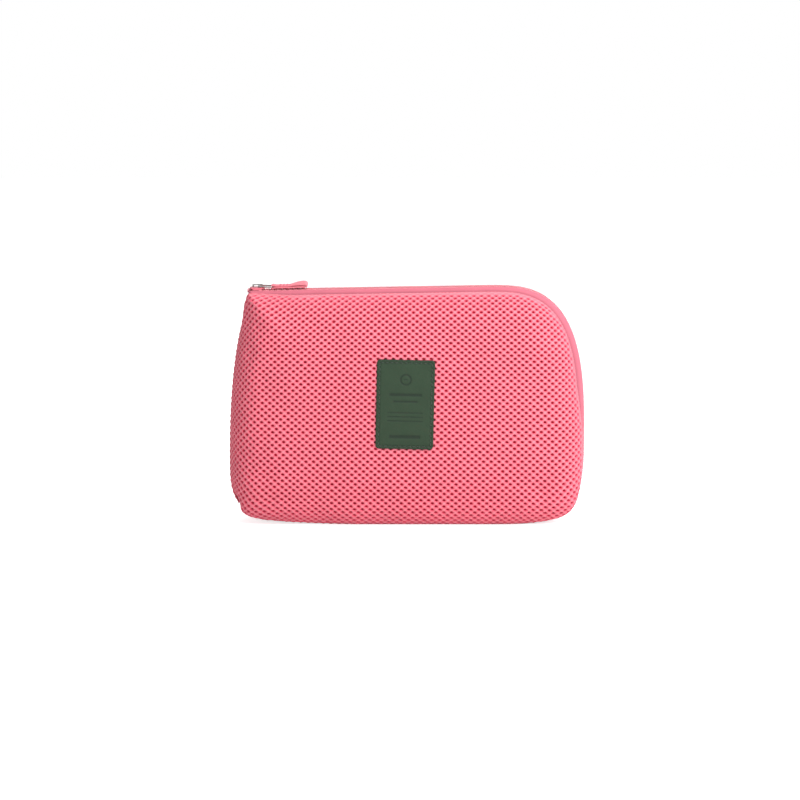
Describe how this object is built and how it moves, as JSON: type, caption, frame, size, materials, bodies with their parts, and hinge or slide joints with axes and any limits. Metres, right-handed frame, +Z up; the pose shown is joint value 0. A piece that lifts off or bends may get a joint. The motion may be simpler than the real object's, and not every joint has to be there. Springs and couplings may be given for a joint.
{
  "type": "cable organizer pouch",
  "caption": "Padded mesh travel pouch with a three-sided zip, a fabric spine it opens about like a book, an inner net pocket and elastic cable loops.",
  "frame": {"origin": "middle of the footprint at the standing edge, on the plane between the two halves; the closed pouch stands on Z = 0", "axes": "+X towards the rounded side away from the spine, -Y out of the labelled front, +Z up from the standing edge towards the zip's top run"},
  "size_m": [0.191, 0.0415, 0.1285],
  "materials": {
    "spacer_mesh": "soft open-hole polyester spacer mesh",
    "foam": "deep pink bonded foam and backing",
    "lining": "smooth woven polyester",
    "zip_fabric": "woven polyester tape",
    "zip_coil": "satin nylon coil",
    "silver_metal": "bright nickel plate",
    "label_leather": "matt green synthetic leather",
    "label_thread": "dark green sewing thread",
    "pink_thread": "pink sewing thread",
    "pocket_net": "open knitted net",
    "elastic": "ribbed woven elastic"
  },
  "bodies": {
    "rear_half": {"rear_mesh": "spacer_mesh", "rear_foam": "foam", "rear_lining": "lining", "rear_seam_binding": "zip_fabric", "rear_zip_tape": "zip_fabric", "rear_zip_coil": "zip_coil", "rear_top_stop": "silver_metal", "zip_bottom_stop": "silver_metal", "spine_fold": "spacer_mesh", "upper_loop_strap": "elastic", "lower_loop_strap": "elastic", "strap_bar_tacks": "pink_thread"},
    "front_half": {"front_mesh": "spacer_mesh", "front_foam": "foam", "front_lining": "lining", "front_seam_binding": "zip_fabric", "front_zip_tape": "zip_fabric", "front_zip_coil": "zip_coil", "front_top_stop": "silver_metal", "label_patch": "label_leather", "label_stitches": "label_thread", "pocket_net": "pocket_net", "pocket_edge_binding": "zip_fabric", "pocket_lower_tape": "zip_fabric", "pocket_upper_tape": "zip_fabric", "pocket_lower_coil": "zip_coil", "pocket_upper_coil": "zip_coil", "pocket_end_stops": "silver_metal"},
    "zip_slider": {"slider_body": "silver_metal"},
    "pull_link": {"pull_link": "silver_metal"},
    "pull_tab": {"pull_tab": "zip_fabric", "tab_stitches": "pink_thread"},
    "pocket_slider": {"pocket_slider": "silver_metal"},
    "pocket_pull": {"pocket_pull": "silver_metal"}
  },
  "joints": [
    {"name": "cover_hinge", "type": "hinge", "parent": "rear_half", "child": "front_half", "pos_m": [-0.09365, 0, 0.0676], "axis": [-0.0682, 0, -0.9977], "range_deg": [0, 180]},
    {"name": "slider_travel", "type": "slide", "parent": "rear_half", "child": "zip_slider", "axis": [0.9999, 0, 0.0165], "range_m": [0, 0.117]},
    {"name": "link_hinge", "type": "hinge", "parent": "zip_slider", "child": "pull_link", "pos_m": [-0.07877, 0, 0.12682], "axis": [0, -1, 0], "range_deg": [0, 120]},
    {"name": "tab_hinge", "type": "hinge", "parent": "pull_link", "child": "pull_tab", "pos_m": [-0.07137, 0, 0.12662], "axis": [0, -1, 0], "range_deg": [0, 60]},
    {"name": "pocket_slider_travel", "type": "slide", "parent": "front_half", "child": "pocket_slider", "axis": [1, 0, 0], "range_m": [0, 0.093]},
    {"name": "pocket_pull_hinge", "type": "hinge", "parent": "pocket_slider", "child": "pocket_pull", "pos_m": [-0.0482, -0.0105, 0.084], "axis": [0, 0, 1], "range_deg": [0, 150]}
  ]
}
